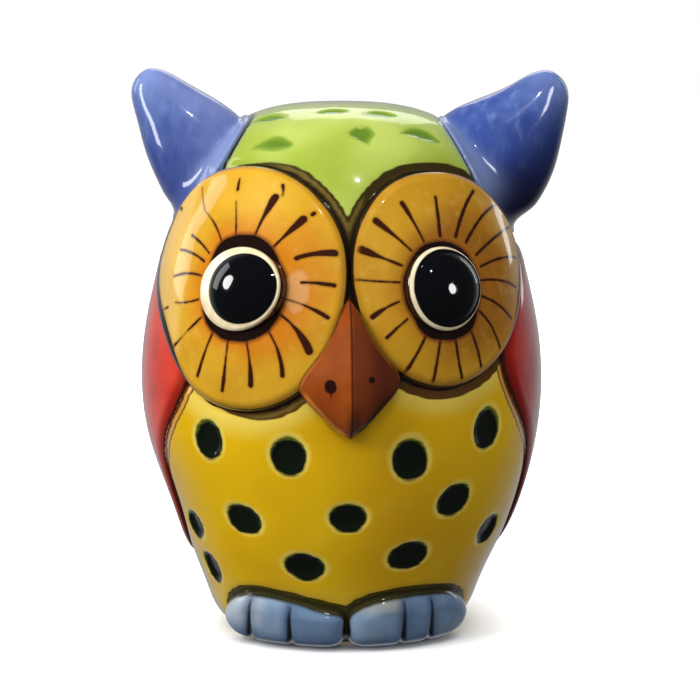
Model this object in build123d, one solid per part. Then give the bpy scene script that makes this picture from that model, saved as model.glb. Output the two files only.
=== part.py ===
"""A ceramic owl coin bank: a hollow cast body with relief pieces and a soft stopper in its base.

Millimetres, +Z up, standing on z = 0. The owl faces -Y, so its own left side is at +X.
Positions below are measured from the body's axis. The last step centres the bank on the origin.
"""

from build123d import *
from math import cos, radians, sin
import os

# Body: outer profile as (radius, height), turned about the axis and then flattened front to back.
DEPTH_RATIO = 0.94
PROFILE = [
    (27.0, 0), (32.6, 4), (36.6, 12), (42.7, 25), (48.2, 40), (51.2, 55), (51.8, 66), (50.6, 80),
    (47.8, 93), (45.0, 104), (41.8, 114), (36.8, 124), (28.5, 132.2), (18.0, 136.4), (8.0, 137.8), (0, 138.0),
]
PROFILE_SAMPLES = 24
WALL = 4.5

# Base: a seat for the stopper inside the foot ring, and the hole that the coins leave by.
SEAT_RADIUS = 21.0
SEAT_DEPTH = 3.0
HOLE_RADIUS = 15.0
FLOOR_TOP = SEAT_DEPTH + WALL

# Coin slot through the upper back, wide enough for a 31 mm coin.
SLOT_LENGTH = 34.0
SLOT_HEIGHT = 5.0
SLOT_Z = 106.0

# How far the low reliefs stand above the body.
DISC_RELIEF = 3.2
WING_RELIEF = 1.8

# Eye discs in the front view (x, z). They are modelled by hand, so the two differ.
RIGHT_DISC = [
    (-26, 123.3), (-12, 120.2), (0.5, 108), (0.5, 90), (-9, 72), (-23, 63.8), (-38, 65.5), (-46.8, 79),
    (-47.6, 98), (-40, 116.5),
]
LEFT_DISC = [
    (21, 123), (9, 120.2), (-0.5, 108), (-0.5, 90), (8, 73.5), (22, 66.3), (36, 69.8), (43.6, 85),
    (43, 103), (34, 118),
]

# Eye buttons: azimuth from the front in degrees and height, then their domed section.
RIGHT_EYE = (-34.0, 93.3)
LEFT_EYE = (27.3, 93.8)
EYE_TILT = 14.0
EYE_RADIUS = 10.7
EYE_EDGE = 1.0
EYE_RISE = 5.0
EYE_ROOT = 9.0

# Beak: a diamond in the front view (x, z), upright to its shoulder and then sloping to a ridge.
BEAK_TOP, BEAK_TIP = (-0.5, 92.0), (-0.3, 57.0)
BEAK_RIGHT, BEAK_LEFT = (-12.6, 68.6), (11.8, 71.0)
BEAK_RIDGE_TOP, BEAK_RIDGE_TIP = (-0.4, 74.0), (-0.4, 61.0)
BEAK_ROOT_Y = -38.0
BEAK_SHOULDER_Y = -51.0
BEAK_RIDGE_Y = -58.5

# Wings in the side view (y, z).
WING = [
    (-3, 101), (-20, 91), (-31, 76), (-29.6, 67.6), (-22, 56.2), (-13.4, 44), (-8.2, 30), (1, 19),
    (17, 31), (31, 51), (35, 72), (25, 91), (11, 100),
]

# Ears: sections across a rising axis as (x, z, half width, half depth), out to a point.
EAR_DIRECTION = (0.68, 0, 0.73)
EAR_Y = -3.0
LEFT_EAR = [
    (30.5, 115.0, 17.0, 12.5), (39.1, 124.5, 15.0, 11.5), (46.5, 131.0, 11.8, 9.4), (53.0, 138.2, 8.0, 7.0),
    (57.0, 143.4, 5.0, 4.6),
]
LEFT_EAR_TIP = (58.4, 145.5)
RIGHT_EAR = [
    (29.5, 116.0, 15.5, 11.5), (38.1, 125.9, 13.3, 10.6), (44.5, 133.2, 10.6, 8.8), (49.3, 139.4, 7.5, 6.6),
    (52.4, 143.3, 4.7, 4.3),
]
RIGHT_EAR_TIP = (53.7, 145.3)

# Feet: low pads in the front view (x, z), with grooves between the toes at these x.
RIGHT_FOOT = [(-0.8, 9), (-4, 12.8), (-13, 14.6), (-24, 15.2), (-30, 11.8), (-29.5, 6), (-22, 1.6), (-10, 1.2), (-3, 2.2)]
LEFT_FOOT = [(-0.2, 9), (3, 14), (12, 16), (23, 15.6), (31, 12), (30.5, 6), (22, 1.6), (10, 1.2), (2, 2.2)]
RIGHT_TOE_GROOVES = (-22.5, -13.0)
LEFT_TOE_GROOVES = (14.5, 22.0)
FOOT_RELIEF = 3.8
TOE_GROOVE_WIDTH = 1.2
TOE_GROOVE_DEPTH = 1.6

# Stopper: a flange in the seat, a ribbed hollow plug in the hole and a pull tab.
FLANGE_RADIUS = 19.0
FLANGE_THICK = 1.6
PLUG_RADIUS = 14.4
PLUG_TOP = FLOOR_TOP + 3.5
PLUG_BORE = 11.5
RIB_RADIUS = HOLE_RADIUS - 0.1
RIB_HEIGHT = 1.0
TAB_LENGTH = 14.0
TAB_THICK = 2.6
TAB_DEPTH = 1.1

FAR = 200.0
STUB = 1.0


def profile(grow):
    """The outer profile in (radius, height), moved outwards by grow."""
    outline = Spline(*PROFILE)
    if grow == 0:
        return outline
    moved = []
    for i in range(PROFILE_SAMPLES + 1):
        point, tangent = outline @ (i / PROFILE_SAMPLES), outline % (i / PROFILE_SAMPLES)
        moved.append((point.X + tangent.Y * grow, point.Y - tangent.X * grow))
    moved[-1] = (0, PROFILE[-1][1] + grow)
    return Spline(*moved)


def turned(grow):
    """The solid inside the profile moved outwards by grow, flattened front to back, with a stub below it."""
    outline = profile(grow)
    start, end = outline @ 0, outline @ 1
    closing = Polyline((end.X, end.Y), (0, start.Y - STUB), (start.X, start.Y - STUB), (start.X, start.Y))
    whole = revolve(Plane.XZ * make_face(outline + closing), Axis.Z)
    return scale(whole, by=(1, DEPTH_RATIO, 1))


def surface_radius(height):
    """The profile's radius at a height."""
    outline = profile(0)
    low, high = 0.0, 1.0
    for _ in range(30):
        middle = (low + high) / 2
        if (outline @ middle).Y < height:
            low = middle
        else:
            high = middle
    return (outline @ low).X


def solid_part(shape):
    """The shape's solids as one part, so that later cuts accept it."""
    return Part() + shape.solids()


above_ground = Box(FAR, FAR, FAR, align=(Align.CENTER, Align.CENTER, Align.MIN))
outer = turned(0) & above_ground


def relief(grow, cutter):
    """The skin that lies on the body, grow thick, inside cutter."""
    return solid_part((turned(grow) & cutter) - outer)


def body_shell():
    """The hollow casting with its stopper seat, hole and coin slot."""
    above_floor = Pos(0, 0, FLOOR_TOP) * Box(FAR, FAR, FAR, align=(Align.CENTER, Align.CENTER, Align.MIN))
    shell = outer - (turned(-WALL) & above_floor)
    shell -= Cylinder(SEAT_RADIUS, 2 * SEAT_DEPTH)
    shell -= Cylinder(HOLE_RADIUS, 4 * FLOOR_TOP)
    slot = Plane.XZ * Pos(0, SLOT_Z) * SlotOverall(SLOT_LENGTH, SLOT_HEIGHT)
    return shell - extrude(slot, -FAR)


def eye_disc(outline):
    """A disc that follows the body, cut to its outline in the front view."""
    face = Plane.XZ * make_face(Spline(*outline, periodic=True))
    return relief(DISC_RELIEF, extrude(face, FAR))


def eyeball(azimuth, height):
    """A domed button set into the eye disc, tipped up with the slope of the body."""
    a, tilt = radians(azimuth), radians(EYE_TILT)
    out = (sin(a) * cos(tilt), -cos(a) * cos(tilt), sin(tilt))
    reach = surface_radius(height) + DISC_RELIEF
    seat = Plane(origin=(reach * sin(a), -reach * DEPTH_RATIO * cos(a), height), z_dir=out)
    rise = EYE_RISE - EYE_EDGE
    curve = (EYE_RADIUS**2 + rise**2) / (2 * rise)
    post = Pos(0, 0, EYE_RISE - EYE_ROOT) * Cylinder(EYE_RADIUS, 2 * EYE_ROOT)
    return seat * (post & Pos(0, 0, EYE_RISE - curve) * Sphere(curve))


def beak():
    """A diamond block with sloping cheeks that meet in an upright ridge."""
    outline = [BEAK_TOP, BEAK_RIGHT, BEAK_TIP, BEAK_LEFT]
    back = [Vector(x, BEAK_ROOT_Y, z) for x, z in outline]
    front = [Vector(x, BEAK_SHOULDER_Y, z) for x, z in outline]
    upper, lower = [Vector(x, BEAK_RIDGE_Y, z) for x, z in (BEAK_RIDGE_TOP, BEAK_RIDGE_TIP)]
    top, right, tip, left = front
    rings = [back, [top, upper, right], [top, left, upper], [tip, right, lower], [tip, lower, left]]
    rings += [[right, upper, lower], [left, lower, upper]]
    for i in range(4):
        j = (i + 1) % 4
        rings.append([back[i], back[j], front[j], front[i]])
    return Solid(Shell([Face(Wire.make_polygon(ring, close=True)) for ring in rings]))


def wing(side):
    """A low relief on the flank, cut to its outline in the side view."""
    face = Plane.YZ * make_face(Spline(*WING, periodic=True))
    return relief(WING_RELIEF, extrude(face, side * FAR))


def ear(side, sections, tip):
    """A blunt horn that leans outwards."""
    direction = Vector(side * EAR_DIRECTION[0], 0, EAR_DIRECTION[2])
    across = Vector(-direction.Z, 0, direction.X)
    faces = []
    for x, z, half_width, half_depth in sections:
        plane = Plane(origin=(side * x, EAR_Y, z), x_dir=across, z_dir=direction)
        faces.append(plane * Ellipse(half_width, half_depth))
    horn = loft(faces + [Vertex(side * tip[0], EAR_Y, tip[1])])
    return horn - outer


def foot(outline, grooves):
    """A pad on the foot of the body, with grooves between its toes."""
    face = Plane.XZ * make_face(Spline(*outline, periodic=True))
    pad = relief(FOOT_RELIEF, extrude(face, FAR))
    groove_floor = turned(FOOT_RELIEF - TOE_GROOVE_DEPTH)
    for x in grooves:
        cut = Pos(x, -FAR / 2, 0) * Box(TOE_GROOVE_WIDTH, FAR, FAR)
        pad -= solid_part(cut - groove_floor)
    return solid_part(pad & above_ground)


def stopper():
    """A soft stopper with its flange inside the foot ring."""
    flange = Pos(0, 0, SEAT_DEPTH - FLANGE_THICK / 2) * Cylinder(FLANGE_RADIUS, FLANGE_THICK)
    start = SEAT_DEPTH - FLANGE_THICK
    plug_height = PLUG_TOP - start
    plug = Pos(0, 0, (start + PLUG_TOP) / 2) * Cylinder(PLUG_RADIUS, plug_height)
    bore_bottom = SEAT_DEPTH
    bore = Pos(0, 0, (bore_bottom + PLUG_TOP + 1) / 2) * Cylinder(PLUG_BORE, PLUG_TOP + 1 - bore_bottom)
    whole = flange + plug - bore
    for z in (SEAT_DEPTH + 1.5, SEAT_DEPTH + 3.5):
        whole += Pos(0, 0, z) * (Cylinder(RIB_RADIUS, RIB_HEIGHT) - Cylinder(PLUG_BORE, RIB_HEIGHT))
    tab = Pos(0, 0, start - TAB_DEPTH / 2) * Box(TAB_LENGTH, TAB_THICK, TAB_DEPTH)
    return whole + tab


parts = {"body_shell": body_shell(), "stopper": stopper()}
parts["right_eye_disc"] = eye_disc(RIGHT_DISC)
parts["left_eye_disc"] = solid_part(eye_disc(LEFT_DISC) - parts["right_eye_disc"])
discs = parts["right_eye_disc"] + parts["left_eye_disc"]
parts["beak"] = Part() + beak() - outer - discs
for name, (azimuth, height) in (("right_eyeball", RIGHT_EYE), ("left_eyeball", LEFT_EYE)):
    button = eyeball(azimuth, height)
    disc_name = name.replace("ball", "_disc")
    parts[name] = button - outer
    parts[disc_name] -= button
parts["right_wing"] = wing(-1) - discs
parts["left_wing"] = wing(1) - discs
parts["right_ear"] = ear(-1, RIGHT_EAR, RIGHT_EAR_TIP) - discs
parts["left_ear"] = ear(1, LEFT_EAR, LEFT_EAR_TIP) - discs
parts["right_foot"] = foot(RIGHT_FOOT, RIGHT_TOE_GROOVES)
parts["left_foot"] = foot(LEFT_FOOT, LEFT_TOE_GROOVES) - parts["right_foot"]

box = Compound(children=[Compound(part.solids()) for part in parts.values()]).bounding_box()
to_origin = Pos(-(box.min.X + box.max.X) / 2, -(box.min.Y + box.max.Y) / 2, 0)

os.makedirs("parts", exist_ok=True)
for name, part in parts.items():
    export_step(to_origin * part, f"parts/{name}.step")
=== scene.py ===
"""The looks of a hand-painted ceramic owl coin bank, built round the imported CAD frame.

Shapes are worked out in millimetres from the body's axis, with z = 0 on the ground and the owl facing -Y.
Right and left are the owl's own. A place on the body is (turn, run): the angle from the front, positive
towards +X, and the length along the body's outline from its foot ring. Each mesh carries painted marks as
distances in millimetres, negative inside the mark, and its glaze turns those into brushwork.
"""

import math

import bpy
import numpy as np
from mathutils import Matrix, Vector


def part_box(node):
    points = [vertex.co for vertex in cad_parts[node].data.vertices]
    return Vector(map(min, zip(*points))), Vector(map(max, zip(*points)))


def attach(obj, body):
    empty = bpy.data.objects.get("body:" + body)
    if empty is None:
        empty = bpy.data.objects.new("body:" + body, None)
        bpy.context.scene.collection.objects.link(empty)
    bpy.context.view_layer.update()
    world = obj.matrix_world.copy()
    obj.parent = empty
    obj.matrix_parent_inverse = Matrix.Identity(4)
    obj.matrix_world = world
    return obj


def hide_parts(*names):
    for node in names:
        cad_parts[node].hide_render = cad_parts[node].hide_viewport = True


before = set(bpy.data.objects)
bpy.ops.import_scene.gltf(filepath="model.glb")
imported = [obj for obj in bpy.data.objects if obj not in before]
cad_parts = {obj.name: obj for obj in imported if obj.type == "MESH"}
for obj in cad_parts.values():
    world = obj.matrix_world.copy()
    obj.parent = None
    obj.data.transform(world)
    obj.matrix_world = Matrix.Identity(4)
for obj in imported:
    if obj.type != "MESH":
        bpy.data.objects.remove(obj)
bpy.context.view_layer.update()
rng = np.random.default_rng(7)

# ---------------------------------------------------------------- dimensions, in mm

DEPTH_RATIO = 0.94
PROFILE = [
    (27.0, 0), (32.6, 4), (36.6, 12), (42.7, 25), (48.2, 40), (51.2, 55), (51.8, 66), (50.6, 80),
    (47.8, 93), (45.0, 104), (41.8, 114), (36.8, 124), (28.5, 132.2), (18.0, 136.4), (8.0, 137.8), (0, 138.0),
]
TOP = PROFILE[-1][1]
WALL = 4.5
SEAT_RADIUS, SEAT_DEPTH = 21.0, 3.0
HOLE_RADIUS, FLOOR_TOP = 15.0, 7.5
INNER_START = 12.0
SLOT_LENGTH, SLOT_HEIGHT, SLOT_Z = 34.0, 5.0, 106.0

# How deep each pad's edge is sunk in the body.
PAD_ROOT = 0.9
DISC_RELIEF = 3.2
RIGHT_DISC = [
    (-26, 123.0), (-12.5, 119.8), (-1.6, 107), (-1.0, 90), (-9, 72), (-23, 63.8), (-38, 65.5), (-48.4, 80),
    (-49.0, 97), (-40.6, 116.2),
]
LEFT_DISC = [
    (21, 121.7), (9.4, 118.6), (1.0, 107), (1.0, 90), (8.8, 75.6), (22, 69.0), (37, 72.6), (46.0, 86),
    (45.6, 102.5), (37.2, 116.2),
]
RIGHT_EYE, LEFT_EYE = (-34.0, 93.3), (27.3, 93.8)

BEAK = [
    (-0.5, 92.2), (-6.3, 81), (-12.7, 69.2), (-9.4, 64.6), (-0.4, 57.4), (8.2, 65.6), (12.0, 71.2), (6.2, 81),
]
BEAK_CENTRE = (-0.4, 68.5)
BEAK_TOP = 92.5
# The beak's half width, and how high its ridge is in tenths of BEAK_RELIEF, each by height.
CHEEKS = [(57, 0.6), (60, 3.4), (64.5, 8.6), (68.5, 11.6), (72, 11.2), (77, 8.4), (84, 4.4), (BEAK_TOP, 0.6)]
CREST = [(57, 0), (59.5, 6), (63, 9.7), (68, 10), (74, 8.7), (80, 6.3), (86, 3.5), (BEAK_TOP, 0)]
BEAK_RELIEF, BEAK_WALL = 6.0, 4.6

WING = [
    (-3, 101), (-20, 91), (-31, 76), (-29.6, 67.6), (-22, 56.2), (-13.4, 44), (-8.2, 30), (1, 19),
    (17, 31), (31, 51), (35, 72), (25, 91), (11, 100),
]
WING_RELIEF = 0.55

RIGHT_FOOT = [
    (-0.7, 6), (-0.9, 9.6), (-5, 11.4), (-14, 13.4), (-24, 14.8), (-31.6, 12.2), (-33, 7), (-25, 1.4),
    (-12, 0.5), (-3, 0.6), (-0.9, 2.4),
]
LEFT_FOOT = [
    (-0.2, 6), (-0.1, 9.6), (3.4, 12.6), (12, 14.8), (23, 15.0), (31.8, 12.2), (33.4, 7), (25, 1.4),
    (12, 0.5), (2.6, 0.6), (0.0, 2.4),
]
FOOT_RELIEF = 3.8
RIGHT_TOE_GROOVES, LEFT_TOE_GROOVES = (-25.6, -15.2), (14.5, 22.0)

# Ears, along a rising axis: (distance along it, centre across it, half width, half depth).
EAR_RISE = np.array([0.6816, 0.0, 0.7317])
EAR_Y = -3.0
LEFT_EAR = [
    (112.0, 55.4, 16.6, 12.0), (117.5, 55.4, 15.8, 11.5), (127.3, 55.0, 12.1, 9.4), (134.9, 55.7, 8.4, 7.2),
    (139.6, 56.5, 6.1, 5.4), (142.0, 56.8, 4.3, 4.0), (143.3, 57.0, 2.3, 2.2), (143.7, 57.0, 0.01, 0.01),
]
RIGHT_EAR = [
    (112.0, 57.6, 14.0, 11.2), (118.0, 58.4, 12.9, 10.6), (126.4, 59.0, 10.3, 8.8), (133.5, 59.8, 7.4, 6.6),
    (137.6, 60.2, 5.6, 5.1), (139.8, 60.4, 4.0, 3.8), (141.0, 60.6, 2.2, 2.1), (141.4, 60.6, 0.01, 0.01),
]
EAR_ROOT = {"left_ear": 17.6, "right_ear": 17.4}
# Which of an ear's 90 sections its root runs up to.
EAR_JOIN = 10

# Belly dots in the front view: x, z, half width and half height on the surface, tilt in degrees.
DOTS = [
    (-35.2, 55.4, 4.5, 4.9, 8), (-15.5, 52.8, 4.7, 4.9, 0), (14.8, 51.8, 4.8, 5.3, 10),
    (34.9, 57.8, 4.5, 5.3, -8), (26.4, 39.8, 5.2, 4.1, 28), (-0.6, 36.8, 4.9, 3.9, 0),
    (-26.6, 34.9, 5.3, 3.9, -18), (-38.9, 30.2, 3.9, 3.9, -30), (36.8, 29.4, 4.8, 3.9, 30),
    (-11.3, 23.1, 5.3, 3.9, -6), (14.9, 25.7, 5.4, 3.9, 12), (-34.6, 18.8, 3.8, 4.3, 0),
]
# A dot's share of its size times this is a distance in mm.
DOT_SCALE = 4.2
# Dots on the back, as turn in degrees and z.
BACK_DOTS = [
    (180, 86), (158, 76), (202, 75), (180, 64), (150, 47), (210, 48), (173, 40), (193, 27), (153, 26),
    (132, 18), (228, 17),
]
# Leaf-shaped dents in the crown: turn in degrees, z, half length, half width, tilt in degrees.
LEAVES = [
    (-34, 128.4, 6.2, 2.2, 8), (8, 131.0, 3.6, 3.2, 84), (38, 130.6, 6.0, 2.2, -24),
    (-52, 134.3, 5.4, 1.9, 25), (24, 135.6, 5.4, 1.9, -12), (-10, 136.2, 5.2, 1.9, 16),
    (96, 134.9, 5.4, 2.0, 60), (-100, 135.0, 5.4, 2.0, -60),
    (140, 131, 6.0, 2.2, 30), (-142, 131, 6.0, 2.2, -30),
    (180, 128.5, 6.2, 2.3, 90), (160, 118, 6.0, 2.2, 60), (-160, 118, 6.0, 2.2, -60),
]

low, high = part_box("body_shell")
AXIS = np.array([(low.x + high.x) / 2, (low.y + high.y) / 2, 0.0])


# ---------------------------------------------------------------- curves and the body's surface


def curve(points, count, closed=False):
    """Evenly spaced samples of a smooth cubic through points. A closed one leaves out the repeated first."""
    p = np.array(points, float)
    if closed:
        p = np.vstack([p, p[:1]])
    n = len(p)
    h = np.linalg.norm(np.diff(p, axis=0), axis=1)
    rise = np.diff(p, axis=0) / h[:, None]
    a, b = np.zeros((n, n)), np.zeros_like(p)
    for i in range(1, n - 1):
        a[i, i - 1 : i + 2] = h[i - 1], 2 * (h[i - 1] + h[i]), h[i]
        b[i] = 6 * (rise[i] - rise[i - 1])
    if closed:
        a[0, 0], a[0, -1] = 1, -1
        a[-1, 0], a[-1, 1], a[-1, -2], a[-1, -1] = 2 * h[0], h[0], h[-1], 2 * h[-1]
        b[-1] = 6 * (rise[0] - rise[-1])
    else:
        a[0, 0] = a[-1, -1] = 1
    bend = np.linalg.solve(a, b)
    knots = np.r_[0, np.cumsum(h)]

    def at(t):
        i = np.clip(np.searchsorted(knots, t, side="right") - 1, 0, n - 2)
        u, v = ((knots[i + 1] - t) / h[i])[:, None], ((t - knots[i]) / h[i])[:, None]
        curl = (u**3 - u) * bend[i] + (v**3 - v) * bend[i + 1]
        return u * p[i] + v * p[i + 1] + curl * (h[i] ** 2)[:, None] / 6

    fine = np.linspace(0, knots[-1], 40 * n)
    length = np.r_[0, np.cumsum(np.linalg.norm(np.diff(at(fine), axis=0), axis=1))]
    wanted = np.linspace(0, length[-1], count + 1)[:-1] if closed else np.linspace(0, length[-1], count)
    return at(np.interp(wanted, length, fine))


outline = curve(PROFILE, 900)
RUN = np.r_[0, np.cumsum(np.linalg.norm(np.diff(outline, axis=0), axis=1))]
TANGENT = np.gradient(outline, RUN, axis=0)


def lean(points):
    """How far the owl's right flank is drawn in towards +X low down."""
    return 1.7 * np.exp(-(((points[..., 2] - 33) / 16) ** 2)) * np.clip(-points[..., 0] / 40, 0, 1.3)


def surface(turn, run, lift=0.0):
    """Points on the body's surface, lifted along its normal."""
    turn, run, lift = np.broadcast_arrays(np.asarray(turn, float), run, lift)
    radius, z = (np.interp(run, RUN, outline[:, i]) for i in (0, 1))
    out, up = np.interp(run, RUN, TANGENT[:, 1]), -np.interp(run, RUN, TANGENT[:, 0])
    normal = np.stack([out * np.sin(turn), -out * np.cos(turn) / DEPTH_RATIO, up], -1)
    normal /= np.linalg.norm(normal, axis=-1, keepdims=True)
    point = np.stack([radius * np.sin(turn), -DEPTH_RATIO * radius * np.cos(turn), z], -1)
    point[..., 0] += lean(point)
    return point + normal * lift[..., None]


def run_at(z):
    return np.interp(z, outline[:, 1], RUN)


def radius_at(run):
    return np.interp(run, RUN, outline[:, 0])


def from_front(points, lift=0.0):
    """(turn, run) of points given in the front view as (x, z)."""
    x, z = np.array(points, float).T
    x = x - lean(np.stack([x, x, z], -1))
    run = run_at(z)
    return np.stack([np.arcsin(np.clip(x / (radius_at(run) + lift), -0.999, 0.999)), run], -1)


def from_side(points, side):
    """(turn, run) of points given in the side view as (y, z), on the flank at +X or -X."""
    y, z = np.array(points, float).T
    run = run_at(z)
    return np.stack([side * np.arccos(np.clip(-y / DEPTH_RATIO / radius_at(run), -1, 1)), run], -1)


def chart(points):
    """(turn, run, depth below the surface) of points near the body."""
    points = points - lean(points)[:, None] * np.array([1.0, 0, 0])
    turn = np.arctan2(points[:, 0], -points[:, 1] / DEPTH_RATIO)
    flat = np.stack([np.hypot(points[:, 0], points[:, 1] / DEPTH_RATIO), points[:, 2]], -1)
    run, depth = np.zeros(len(flat)), np.zeros(len(flat))
    rough = outline[::3]
    for start in range(0, len(flat), 4000):
        part = flat[start : start + 4000]
        gap = ((part[:, None] - rough[None]) ** 2).sum(-1)
        near = gap.argmin(1)
        run[start : start + 4000] = RUN[::3][near]
        normal = np.stack([TANGENT[::3][near, 1], -TANGENT[::3][near, 0]], -1)
        depth[start : start + 4000] = -((part - rough[near]) * normal).sum(-1)
    return turn, run, depth


def line_distance(points, line, closed=False, width=0.0):
    """Distance from points to a polyline, less its half width, which may vary along it."""
    line = np.asarray(line, float)
    width = np.broadcast_to(np.asarray(width, float), len(line))
    a, b = line, np.roll(line, -1, axis=0)
    wa, wb = width, np.roll(width, -1)
    if not closed:
        a, b, wa, wb = a[:-1], b[:-1], wa[:-1], wb[:-1]
    best = np.full(len(points), 1e3)
    for start in range(0, len(points), 4000):
        p = points[start : start + 4000, None]
        along = ((p - a) * (b - a)).sum(-1) / np.maximum(((b - a) ** 2).sum(-1), 1e-9)
        along = np.clip(along, 0, 1)
        gap = np.linalg.norm(p - a - along[..., None] * (b - a), axis=-1) - (wa + (wb - wa) * along)
        best[start : start + 4000] = gap.min(1)
    return best


def inside(turn, run, loop):
    """Which (turn, run) places lie inside a closed loop of them."""
    result = np.zeros(len(turn), bool)
    for (t0, r0), (t1, r1) in zip(loop, np.roll(loop, -1, axis=0)):
        crosses = (r0 > run) != (r1 > run)
        with np.errstate(divide="ignore", invalid="ignore"):
            result ^= crosses & (turn < (t1 - t0) * (run - r0) / (r1 - r0) + t0)
    return result


def rim_gap(turn, run, loop):
    """Distance along the plain body from places to a loop on it."""
    return line_distance(surface(turn, run), surface(loop[:, 0], loop[:, 1]), closed=True)


def loop_distance(turn, run, loop):
    """Distance to a loop on the body, negative inside it."""
    gap = rim_gap(turn, run, loop)
    return np.where(inside(turn, run, loop), -gap, gap)


def step(value, low_edge, high_edge):
    t = np.clip((value - low_edge) / (high_edge - low_edge), 0, 1)
    return t * t * (3 - 2 * t)


WAVES = [(rng.normal(size=3), rng.uniform(0, 2 * math.pi)) for _ in range(14)]


def ripple(points, size):
    """A gentle unevenness between about -1 and 1, of waves about size mm long."""
    total = np.zeros(points.shape[:-1])
    for direction, phase in WAVES:
        total += np.sin(points @ direction * (2 * math.pi / size / 1.7) + phase)
    return total / len(WAVES) ** 0.5 / 1.4


# ---------------------------------------------------------------- meshes


def link(name, data):
    made = bpy.data.objects.new(name, data)
    bpy.context.scene.collection.objects.link(made)
    return made


def add_marks(mesh, marks):
    for mark, values in marks.items():
        mesh.attributes.new(mark, "FLOAT", "POINT").data.foreach_set("value", np.asarray(values, np.float32))


def make_object(name, points, faces, marks):
    """A smooth-shaded object with its faces turned outwards, from points in mm about the body's axis."""
    mesh = bpy.data.meshes.new(name)
    corners = points[np.array([f[:3] for f in faces])]
    last = points[np.array([(f[0], f[2], f[-1]) for f in faces])]
    volume = sum((c[:, 0] * np.cross(c[:, 1], c[:, 2])).sum() for c in (corners, last))
    if volume < 0:
        faces = [tuple(f)[::-1] for f in faces]
    mesh.from_pydata([tuple(p) for p in points / 1000 + AXIS], [], [tuple(f) for f in faces])
    mesh.update()
    add_marks(mesh, marks)
    mesh.polygons.foreach_set("use_smooth", [True] * len(mesh.polygons))
    return link(name, mesh)


def rings_to_mesh(rings):
    """Vertices and faces of closed rings of equal length, with a single point at each end."""
    rows, columns = len(rings), len(rings[0])
    points = np.vstack([*rings, rings[0].mean(0), rings[-1].mean(0)])
    faces = []
    for i in range(rows - 1):
        for j in range(columns):
            k = (j + 1) % columns
            a, b = i * columns, (i + 1) * columns
            faces.append((a + j, a + k, b + k, b + j))
    start, end, last = rows * columns, rows * columns + 1, (rows - 1) * columns
    for j in range(columns):
        k = (j + 1) % columns
        faces.append((start, k, j))
        faces.append((end, last + j, last + k))
    return points, faces


def pad(loop, centre, height, rings, ease=1.5):
    """A closed pad lying on the body inside a loop of (turn, run). height(gap, turn, run) gives its lift, where
    gap is the distance to the loop. Returns its points and faces, and the turn and run of each point."""
    reach = np.linalg.norm(surface(loop[:, 0], loop[:, 1]) - surface(*centre), axis=-1)
    layers, places = [], []
    for share in 1 - np.linspace(1, 0, rings)[1:] ** ease:
        place = centre + (loop - centre) * share
        lift = height(reach * (1 - share), place[:, 0], place[:, 1])
        layers.append(surface(place[:, 0], place[:, 1], lift))
        places.append(place)
    for share in np.linspace(1, 0, 14)[:-1]:
        place = centre + (loop - centre) * share
        layers.append(surface(place[:, 0], place[:, 1], -PAD_ROOT - 0.1))
        places.append(place)
    points, faces = rings_to_mesh(layers)
    turn, run = np.vstack([*places, centre, centre]).T
    return points, faces, turn, run


def rounded(gap, width, power=2.4):
    """A pad's height share across its rounded edge: 0 at the edge and 1 beyond width from it."""
    t = np.clip(gap / width, 0, 1)
    return (1 - (1 - t) ** power) ** (1 / power)


def loop_on_body(places, count):
    """A smooth closed loop through (turn, run) places."""
    scale = np.array([45.0, 1.0])
    return curve(places * scale, count, closed=True) / scale


loops = {
    "right_disc": loop_on_body(from_front(RIGHT_DISC, DISC_RELIEF), 420),
    "left_disc": loop_on_body(from_front(LEFT_DISC, DISC_RELIEF), 420),
    "right_wing": loop_on_body(from_side(WING, -1), 260),
    "left_wing": loop_on_body(from_side(WING, 1), 260),
    "right_foot": loop_on_body(from_front(RIGHT_FOOT, FOOT_RELIEF), 300),
    "left_foot": loop_on_body(from_front(LEFT_FOOT, FOOT_RELIEF), 300),
    "beak": loop_on_body(from_front(BEAK), 260),
}


# ---------------------------------------------------------------- marks on the surface


def tangents(turn_deg, z, tilt_deg):
    """A point on the body, and the directions across and up there, turned by a tilt."""
    turn, run, tilt = math.radians(turn_deg), run_at(z), math.radians(tilt_deg)
    centre = surface(turn, run)
    across, up = surface(turn + 0.01, run) - centre, surface(turn, run + 0.5) - centre
    across, up = across / np.linalg.norm(across), up / np.linalg.norm(up)
    cosine, sine = math.cos(tilt), math.sin(tilt)
    return centre, cosine * across + sine * up, cosine * up - sine * across


def oval(points, turn_deg, z, half_width, half_height, tilt_deg):
    """Where points are in an oval on the body, across and up, as shares of its half width and half height."""
    centre, across, up = tangents(turn_deg, z, tilt_deg)
    behind = np.linalg.norm(points - centre, axis=-1) > 40
    u, v = (points - centre) @ across / half_width, (points - centre) @ up / half_height
    return np.where(behind, 9.0, u), np.where(behind, 9.0, v)


def leaf(points, turn_deg, z, half_length, half_width, tilt_deg):
    """Distance to a leaf-shaped dent with pointed ends, negative inside it."""
    centre, across, up = tangents(turn_deg, z, tilt_deg)
    u, v = (points - centre) @ across / half_length, (points - centre) @ up
    belly = half_width * np.clip(1 - np.abs(u) ** 1.7, 0, 1) * (1 + 0.35 * u)
    gap = np.abs(v + 0.5 * half_width * (u * u - 0.3)) - belly
    gap = np.where(np.abs(u) > 1, (np.abs(u) - 1) * half_length + 0.4, gap)
    away = np.linalg.norm(points - centre, axis=-1)
    return np.where(away > 2.5 * half_length, 50.0, gap)


def ear_frame(name):
    """The ear's axis, its direction across towards the head's middle, and its sections."""
    side = 1 if name == "left_ear" else -1
    mirror = np.array([side, 1, 1])
    across = np.array([-EAR_RISE[2], 0, EAR_RISE[0]]) * mirror
    sections = LEFT_EAR if side == 1 else RIGHT_EAR
    start = across * sections[0][1] + np.array([0, EAR_Y, 0])
    return EAR_RISE * mirror, across, start, sections


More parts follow.
